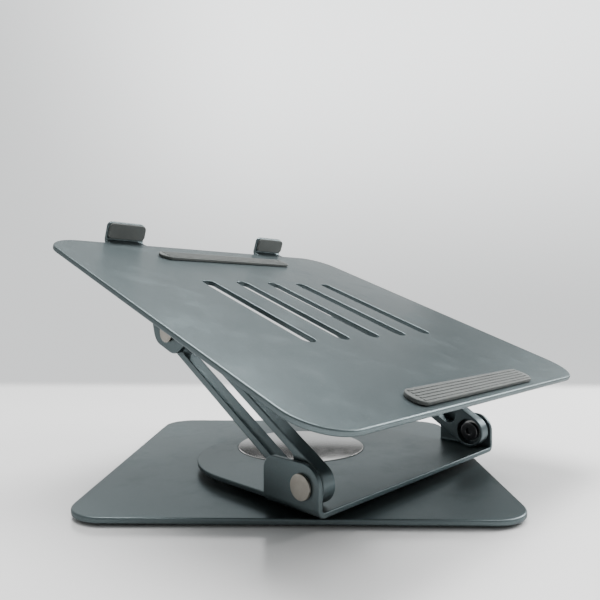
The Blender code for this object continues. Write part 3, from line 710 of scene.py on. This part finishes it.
def lacquered_desk(stage):
    """White lacquered desk top that fades into the wall at its far edge."""
    color = tuple(stage.desk)
    finish, tree, shader, vector = blank("white_lacquer", color, 0.22, 0.0)
    grain = placed(tree, fine_grain, 0, Vector=vector, Grains_per_Metre=700.0,
                   Clouds_per_Metre=3.0)
    edge = stage.desk_far_edge
    fade = between(tree, 3, 5, split(tree, 2, 5, vector)["Y"], edge - 0.02, edge + 0.05)
    feed(shader,
         Base_Color=tinted(tree, 3, 0, grain["Clouds"], scaled(color, 0.985),
                           scaled(color, 1.01)),
         Roughness=ranged(tree, 3, 1, grain["Tone"], 0.20, 0.26),
         Alpha=arithmetic(tree, 'SUBTRACT', 4, 5, 1.0, fade))
    bumped(tree, shader, grain["Height"], 10 * MICRON)
    return finish


# each finish: material slot, maker, material's name, and the maker's own values
FINISH_MAKERS = {
    "slate": ("satin_metal", satin_slate, "satin_slate", 1.0),
    "slate_arm": ("satin_metal", satin_slate, "satin_slate_arm", 0.8),
    "mirror": ("mirror_metal", polished_disc, "polished_disc"),
    "nickel": ("warm_nickel", turned_metal, "satin_nickel", "nickel", 0.36, 1.5 * MICRON, 1.5),
    "steel": ("steel", turned_metal, "bright_steel", "bright_steel", 0.28, 1 * MICRON, 1.4),
    "black_steel": ("dark_steel", turned_metal, "black_steel", "black_steel", 0.24,
                    1.5 * MICRON, 4.0),
    "nylon": ("black_plastic", moulded, "black_nylon", "nylon", 0.48, 1800.0, 30 * MICRON, 0.1),
    "silicone": ("soft_grip", moulded, "charcoal_silicone", "silicone", 0.66, 1500.0,
                 80 * MICRON, 0.12),
}
FINISHES = {}


def finish_named(name):
    """A finish by name, made the first time it is asked for."""
    if name not in FINISHES:
        maker, *values = FINISH_MAKERS[name][1:]
        FINISHES[name] = maker(bpy.context.scene.stand_finish, *values)
    return FINISHES[name]


# ------------ pieces

def make_base(sizes):
    low, high = span("base_plate", BASE)
    race_low, race_high = span("lower_race", BASE)
    bm = new_mesh()
    bottom, top = wall(bm, rectangle(low, high, sizes.base_corner),
                       edge_profile(low.z, high.z, sizes.base_edge, sizes.base_edge))
    sunk, mouth = bore(bm, race_high.x + sizes.race_pocket, race_low.z - GAP, high.z, 0,
                       3 * SOFT, steps=ROUND_STEPS)
    for rings in ([bottom], [top, mouth], [sunk]):
        cap(bm, rings)
    piece("base_sheet", bm, BASE, "base", "slate", "base_plate")

    low, high = span("base_pad", BASE)
    bm = plate(rectangle(low, high, sizes.base_corner - sizes.pad_inset), low.z, high.z,
               2.5 * SOFT)
    piece("base_underlay", bm, BASE, "base", "silicone", "base_pad")


def make_disc():
    low, high = span("centre_disc", SWIVEL)
    bm = turned(section([(0, low.z, 0), (high.x, low.z, SOFT),
                         (high.x, high.z, 3 * SOFT), (0, high.z, 0)]), ROUND_STEPS)
    piece("polished_centre", bm, SWIVEL, "swivel", "mirror", "centre_disc")


def make_swivel(sizes):
    low, high = span("swivel_plate", SWIVEL)
    disc_low, disc_high = span("centre_disc", SWIVEL)
    sheet, bend = sizes.sheet, sizes.bend
    top = low.z + sheet
    start = high.x - sheet - bend
    pin = SWIVEL.inverted() @ LOWER_PIN
    reach = start + flat_reach(bend, sheet, high.z - top)
    side = high.x - sizes.swivel_setback
    front_of_ear = low.y + sizes.ear_length
    half = [(reach, low.y, high.z - pin.z), (reach, front_of_ear, sizes.ear_front),
            (side, front_of_ear, 2.5 * SOFT), (side, high.y, sizes.front_round)]
    hole_at = start + flat_reach(bend, sheet, pin.z - top)
    holes = [(circle(sizes.pin_hole, (sign * hole_at, pin.y), PIN_STEPS), 0)
             for sign in SIDES.values()]
    bm = new_mesh()
    bottoms, tops = sheet_walls(bm, both_sides(half), low.z, top, sizes.swivel_edge,
                                holes)
    seat = disc_low.z - GAP
    shelf, mouth = bore(bm, disc_high.x + sizes.disc_pocket, seat, top, 0, 1.5 * SOFT,
                        steps=ROUND_STEPS)
    inner, inner_mouth = bore(bm, sizes.swivel_bore, low.z, seat)
    for rings in (bottoms + [inner], tops + [mouth], [shelf, inner_mouth]):
        cap(bm, rings)
    for sign in SIDES.values():
        bend_up(bm, (sign, 0), start, top, bend, sheet)
    piece("swivel_sheet", bm, SWIVEL, "swivel", "slate", "swivel_plate")


def make_arms(sizes):
    run = (UPPER_PIN - LOWER_PIN).length
    for name, side in SIDES.items():
        place = sideways(ARMS, side)
        low, high = span(f"arm_{name}", place)
        rail_slot = high.y - sizes.arm_rail
        start = sizes.arm_solid + rail_slot
        floor = low.z + sizes.counterbore_depth
        bm = new_mesh()
        slot = slot_outline(start, run - start, rail_slot)
        inner, outward = sheet_walls(bm, slot_outline(0, run, high.y), low.z, high.z,
                                     sizes.arm_edge, [(slot, sizes.arm_edge / 2)])
        for end in ((0, 0), (run, 0)):
            mouth, seat = bore(bm, sizes.counterbore, low.z, floor, 3 * SOFT, at=end)
            near, far = bore(bm, sizes.pin_hole, floor, high.z, 0, 2 * SOFT, end)
            cap(bm, [seat, near])
            inner.append(mouth)
            outward.append(far)
        cap(bm, inner)
        cap(bm, outward)
        piece(f"lift_arm_{name}", bm, place, "arms", "slate_arm", f"arm_{name}")


def headed_pin(ends, screw_ends, hole):
    """A pin with a low head, threaded from its inner end for its screw."""
    low, high = ends
    under_head = high.z - SMALL_HEAD
    shank, thread_end = hole - GAP, screw_ends[1].z + GAP
    return turned(section([
        (0, high.z, 0), (high.x, high.z, 3.5 * SOFT), (high.x, under_head, SOFT),
        (shank, under_head, 0), (shank, low.z, 1.5 * SOFT), (SCREW_HOLE, low.z, 0),
        (SCREW_HOLE, thread_end, 0), (0, thread_end, 0)]))


def socket_screw(head, heights, shank, socket, depth, soft, steps):
    """A cap screw with a hexagonal socket; heights are its face, its head's back and its tip.

    soft holds the rounding of the socket's mouth and of the socket's corners.
    """
    face, back, tip = heights
    floor_at = face + math.copysign(depth, back - face)
    bm = new_mesh()
    edge, shoulder = wall(bm, circle(head, steps=steps[0]),
                          edge_profile(face, back, 4.5 * SOFT, SOFT))
    hexagon = filleted([(*point, soft[1]) for point in circle(socket, steps=6)], 3)
    mouth, floor = wall(bm, hexagon, edge_profile(face, floor_at, soft[0], 0), True)
    root, end = wall(bm, circle(shank, steps=steps[1]), edge_profile(back, tip, 0, 2 * SOFT))
    for rings in ([edge, mouth], [floor], [shoulder, root], [end]):
        cap(bm, rings)
    return bm


def washer(ends, hole):
    low, high = ends
    return turned(section([(radius, height, 1.5 * SOFT) for radius, height in
                           ((hole, low.z), (high.x, low.z), (high.x, high.z), (hole, high.z))]))


def disc_spring(ends, hole):
    """A dished spring washer under the head of the socket screw."""
    low, high = ends
    thick, dish = 0.5 * MM, 0.3 * MM
    return turned(section([(radius, height, SOFT) for radius, height in
                           ((high.x, high.z), (high.x, high.z - thick), (hole, low.z),
                            (hole, high.z - dish))]))


def make_hinges(sizes):
    """Each hinge's pin, screw, washer and spring, on a frame that points outward."""
    kinds = {"pin": ("hinge_pin", "nickel"), "screw": ("cap_screw", "black_steel"),
             "washer": ("friction_washer", "nylon"), "spring": ("disc_spring", "steel")}
    hole = sizes.pin_hole
    for level in LEVELS:
        for name, side in SIDES.items():
            place = sideways(HINGE[level], side)
            ends = {kind: span(f"{level}_{kind}_{name}", place) for kind in kinds}
            low, high = ends["screw"]
            meshes = {
                "pin": headed_pin(ends["pin"], ends["screw"], hole),
                "screw": socket_screw(high.x, (low.z, low.z + HINGE_HEAD, high.z),
                                      **HINGE_SCREW),
                "washer": washer(ends["washer"], hole),
                "spring": disc_spring(ends["spring"], hole)}
            for kind, (made, finish) in kinds.items():
                piece(f"{level}_{made}_{name}", meshes[kind], place, HINGE_BODY[level], finish,
                      f"{level}_{kind}_{name}")


def make_tray(sizes):
    low, high = span("tray_plate", TRAY)
    sheet, bend, corner = sizes.tray_sheet, sizes.bend, sizes.tray_corner
    top = low.z + sheet
    face = high.y - sheet
    start = face - bend
    edge = face - sizes.tray_setback
    reach = start + flat_reach(bend, sheet, high.z - top)
    inner = (sizes.hook_spacing - sizes.hook_width) / 2
    outer = inner + sizes.hook_width
    relief = 8 * SOFT
    half = [(high.x, low.y, corner), (high.x, edge, corner), (outer, edge, relief),
            (outer, reach, sizes.hook_round), (inner, reach, sizes.hook_round),
            (inner, edge, relief)]
    centre = low.y + sizes.vent_centre
    half_run = (sizes.vent_length - sizes.vent_width) / 2
    vent = slot_outline(centre - half_run, centre + half_run, sizes.vent_width / 2)
    holes = []
    for index in range(sizes.vent_count):
        shift = (index - (sizes.vent_count - 1) / 2) * sizes.vent_pitch
        holes.append(([Vector((point.y + shift, point.x)) for point in vent], 5 * SOFT))
    bm = plate(both_sides(half), low.z, top, sizes.tray_edge, holes)
    bend_up(bm, (0, 1), start, top, bend, sheet)
    piece("tray_sheet", bm, TRAY, "tray", "slate", "tray_plate")


def ribbed_pad(low, high, ribs, depth, corner, rounding):
    """A soft pad whose top has ribs along its first coordinate."""
    bm = new_mesh()
    floor = high[2] - depth
    for ring in wall(bm, rectangle(low, high, corner),
                     edge_profile(low[2], floor, rounding / 3, rounding)):
        cap(bm, [ring])
    pitch = (high[1] - low[1] - 3 * rounding) / ribs
    inset = corner * 0.6 + rounding
    rib = slot_outline(low[0] + inset, high[0] - inset, pitch * 0.3)
    for index in range(ribs):
        middle = (low[1] + high[1]) / 2 + (index - (ribs - 1) / 2) * pitch
        join(bm, plate(rib, floor - rounding / 2, high[2], depth * 0.6), (0, middle, 0))
    return bm


def make_pads(sizes):
    ribs, rib_height, edge = 5, 0.35 * MM, 0.6 * MM
    for name in ("rear_pad", "front_pad"):
        low, high = span(name, TRAY)
        corner = (high.y - low.y) / 2 - 0.4 * MM
        bm = ribbed_pad(low, high, ribs, rib_height, corner, edge)
        piece(f"{name}_ribbed", bm, TRAY, "tray", "silicone", name)
    margin = sizes.cushion_margin
    place = axes_at(TRAY.translation, -TRAY.col[0].to_3d(), TRAY.col[2].to_3d())
    for name in SIDES:
        low, high = span(f"hook_pad_{name}", place)
        low -= Vector((margin, 0, 0))
        high += Vector((margin, margin, 0))
        bm = plate(rectangle(low, high, sizes.cushion_corner), low.z, high.z, edge)
        piece(f"hook_cushion_{name}", bm, place, "tray", "silicone", f"hook_pad_{name}")


def make_brackets(sizes):
    sheet, bend, corner = sizes.sheet, sizes.bend, sizes.bracket_round
    across, along = (TRAY.col[index].to_3d() for index in (0, 1))
    for name, side in SIDES.items():
        place = axes_at(TRAY.translation, across * side, along * -side)
        low, high = span(f"bracket_{name}", place)
        level = low.z + sheet
        start = high.x - sheet - bend
        reach = start + flat_reach(bend, sheet, high.z - level)
        ear_round = high.z
        shoulder = start + flat_reach(bend, sheet, corner + 1 * MM)
        outline = filleted([(low.x, low.y, 2 * MM), (shoulder, low.y, corner),
                            (reach, -ear_round, ear_round), (reach, ear_round, ear_round),
                            (shoulder, high.y, corner), (low.x, high.y, 2 * MM)])
        hole_at = start + flat_reach(bend, sheet, -level)
        holes = [(circle(sizes.pin_hole, (hole_at, 0), PIN_STEPS), 0)]
        screws = [span(f"bracket_screw_{name}_{number}", place) for number in (1, 2)]
        for screw_low, screw_high in screws:
            middle = (screw_low + screw_high) / 2
            holes.append((circle(SCREW_HOLE, middle[:2], SCREW_STEPS), SOFT))
        bm = plate(outline, low.z, level, sizes.swivel_edge, holes)
        bend_up(bm, (1, 0), start, level, bend, sheet)
        piece(f"tray_bracket_{name}", bm, place, "tray", "slate", f"bracket_{name}")
        for number, (screw_low, screw_high) in enumerate(screws, 1):
            middle = (screw_low + screw_high) / 2
            here = place @ Matrix.Translation((middle.x, middle.y, 0))
            heights = (screw_high.z, screw_high.z - SMALL_HEAD, screw_low.z)
            bm = socket_screw((screw_high.x - screw_low.x) / 2, heights, **BRACKET_SCREW)
            piece(f"tray_screw_{name}_{number}", bm, here, "tray", "black_steel",
                  f"bracket_screw_{name}_{number}")


def finish_turntable():
    """The turntable's own pieces stay as they are and get their finishes."""
    repaint("steel", "lower_race", "upper_race", "centre_pin", "centre_nut",
            *(f"ball_{number}" for number in range(1, 9)),
            *(f"{ring}_race_screw_{number}" for ring in LEVELS for number in (1, 2, 3)))
    repaint("nylon", "ball_cage", "centre_bush")


# ------------ stage

def area_light(name, place, aim, size, watts):
    lamp = bpy.data.lights.new(name, 'AREA')
    lamp.shape = 'RECTANGLE'
    lamp.size, lamp.size_y = size
    lamp.energy = watts
    obj = show(name, lamp)
    obj.location = place
    obj.rotation_euler = (Vector(aim) - Vector(place)).to_track_quat('-Z', 'Y').to_euler()


def make_desk(stage):
    reach, far = 1.5, stage.desk_far_edge + 0.06
    mesh = bpy.data.meshes.new("desk")
    mesh.from_pydata([(-reach, -reach, 0), (reach, -reach, 0), (reach, far, 0),
                      (-reach, far, 0)], [], [(0, 1, 2, 3)])
    mesh.materials.append(lacquered_desk(stage))
    show("desk", mesh)


def make_wall(stage):
    """A pale wall all round, and the light of the room, which the stand's metal mirrors.

    The wall behind the stand is bright below and above a dark rail, and the room in front is
    half dark. Heights and directions are sines of the angle from the middle of the stand.
    """
    blur = 0.01
    darkest = 0.05 * stage.room_light
    world = bpy.data.worlds.new("pale_wall")
    bpy.context.scene.world = world
    world.use_nodes = True
    tree = world.node_tree
    room = tree.nodes["Background"]
    room.location = (1800, 0)
    tree.nodes["World Output"].location = (2400, 0)
    coords = add(tree, 'ShaderNodeTexCoord', 0, 0)
    sideways_on, ahead_on, height = split(tree, 1, 0, coords.outputs["Generated"])
    ahead = between(tree, 2, 0, ahead_on, -0.75, 0.45)
    over_low, over_high = [between(tree, 2, row, height, rail - blur, rail + blur)
                           for row, rail in ((1, stage.rail_low), (2, stage.rail_high))]
    lit = arithmetic(tree, 'MAXIMUM', 4, 1, arithmetic(tree, 'SUBTRACT', 3, 1, 1.0, over_low),
                     arithmetic(tree, 'MULTIPLY', 3, 2, over_high, stage.high_light))
    behind = arithmetic(tree, 'MULTIPLY', 5, 1, ahead, lit)
    ceiling = between(tree, 2, 3, height, 0.5, 1.0)
    front = arithmetic(tree, 'MULTIPLY', 4, 4, arithmetic(tree, 'SUBTRACT', 3, 4, 1.0, ahead),
                       stage.front_light)
    bright = arithmetic(tree, 'MAXIMUM', 6, 1, behind,
                        arithmetic(tree, 'MAXIMUM', 5, 3, ceiling, front))
    feed(room, Color=tuple(stage.wall),
         Strength=ranged(tree, 7, 1, bright, darkest, stage.room_light))

    # painted light on the wall that the camera sees: brighter higher up and towards the middle and right, darker
    # low down and to the left
    backdrop = add(tree, 'ShaderNodeBackground', 8, 3)
    glow = arithmetic(tree, 'MULTIPLY', 6, 5, between(tree, 5, 5, height, -0.05, 0.45),
                      between(tree, 5, 6, sideways_on, -0.55, -0.05))
    feed(backdrop, Color=tuple(stage.wall),
         Strength=ranged(tree, 7, 4, glow, stage.wall_seen * stage.wall_foot, stage.wall_seen))
    seen = add(tree, 'ShaderNodeLightPath', 8, 5)
    either = add(tree, 'ShaderNodeMixShader', 9, 0)
    for socket, value in zip(either.inputs, (seen.outputs["Is Camera Ray"], room.outputs[0],
                                             backdrop.outputs[0])):
        connect(socket, value)
    feed(tree.nodes["World Output"], Surface=either.outputs[0])


def make_camera(stage):
    lens = bpy.data.cameras.new("camera")
    lens.lens = stage.lens
    lens.sensor_width = 36
    lens.clip_start = 0.01
    camera = show("camera", lens)
    camera.location = CAMERA_AT
    camera.rotation_euler = CAMERA_TURN
    bpy.context.scene.camera = camera


# ------------ operators

class StandOperator:
    bl_options = {'REGISTER', 'UNDO'}


class STAND_OT_base(StandOperator, Operator):
    """Make the base plate and the pad under it"""
    bl_idname = "stand.base"
    bl_label = "Base"

    def execute(self, context):
        make_base(context.scene.stand_sizes)
        return {'FINISHED'}


class STAND_OT_turntable(StandOperator, Operator):
    """Finish the turntable's races, balls and screws, and make its disc"""
    bl_idname = "stand.turntable"
    bl_label = "Turntable"

    def execute(self, context):
        finish_turntable()
        make_disc()
        return {'FINISHED'}


class STAND_OT_swivel(StandOperator, Operator):
    """Make the swivel plate with its two bent ears"""
    bl_idname = "stand.swivel"
    bl_label = "Swivel Plate"

    def execute(self, context):
        make_swivel(context.scene.stand_sizes)
        return {'FINISHED'}


class STAND_OT_arms(StandOperator, Operator):
    """Make the two slotted arms"""
    bl_idname = "stand.arms"
    bl_label = "Arms"

    def execute(self, context):
        make_arms(context.scene.stand_sizes)
        return {'FINISHED'}


class STAND_OT_hinges(StandOperator, Operator):
    """Make the pins, screws, washers and springs of the four hinges"""
    bl_idname = "stand.hinges"
    bl_label = "Hinges"

    def execute(self, context):
        make_hinges(context.scene.stand_sizes)
        return {'FINISHED'}


class STAND_OT_tray(StandOperator, Operator):
    """Make the tray with its cooling slots and its two hooks"""
    bl_idname = "stand.tray"
    bl_label = "Tray"

    def execute(self, context):
        make_tray(context.scene.stand_sizes)
        return {'FINISHED'}


class STAND_OT_pads(StandOperator, Operator):
    """Make the ribbed pads that the laptop rests on and the plain cushions it rests against"""
    bl_idname = "stand.pads"
    bl_label = "Pads"

    def execute(self, context):
        make_pads(context.scene.stand_sizes)
        return {'FINISHED'}


class STAND_OT_brackets(StandOperator, Operator):
    """Make the brackets under the tray and their screws"""
    bl_idname = "stand.brackets"
    bl_label = "Brackets"

    def execute(self, context):
        make_brackets(context.scene.stand_sizes)
        return {'FINISHED'}


class STAND_OT_stage(StandOperator, Operator):
    """Make the desk, the wall, the lights and the camera"""
    bl_idname = "stand.stage"
    bl_label = "Desk and Light"

    def execute(self, context):
        stage = context.scene.stand_stage
        make_desk(stage)
        make_wall(stage)
        for name, place, aim, size, power_name in LIGHTS:
            area_light(name, place, aim, size, getattr(stage, power_name))
        make_camera(stage)
        return {'FINISHED'}


OPERATORS = (STAND_OT_base, STAND_OT_turntable, STAND_OT_swivel, STAND_OT_arms,
             STAND_OT_hinges, STAND_OT_tray, STAND_OT_pads, STAND_OT_brackets, STAND_OT_stage)


class STAND_PT_sidebar(Panel):
    """Makes the stand piece by piece"""
    bl_label = "Laptop Stand"
    bl_idname = "STAND_PT_sidebar"
    bl_space_type = 'VIEW_3D'
    bl_region_type = 'UI'
    bl_category = "Stand"

    def draw(self, context):
        for operator in OPERATORS:
            self.layout.operator(operator.bl_idname)
        for group in (getattr(context.scene, name) for name in GROUPS):
            box = self.layout.box()
            for name in group.__annotations__:
                box.prop(group, name)


CLASSES = (*GROUPS.values(), *OPERATORS, STAND_PT_sidebar)


def register():
    for cls in CLASSES:
        bpy.utils.register_class(cls)
    for name, group in GROUPS.items():
        setattr(bpy.types.Scene, name, PointerProperty(type=group))


def unregister():
    for name in GROUPS:
        delattr(bpy.types.Scene, name)
    for cls in reversed(CLASSES):
        bpy.utils.unregister_class(cls)


def main():
    register()
    bpy.ops.stand.base()
    bpy.ops.stand.turntable()
    bpy.ops.stand.swivel()
    bpy.ops.stand.arms()
    bpy.ops.stand.hinges()
    bpy.ops.stand.tray()
    bpy.ops.stand.pads()
    bpy.ops.stand.brackets()
    bpy.ops.stand.stage()


if __name__ == "__main__":
    main()
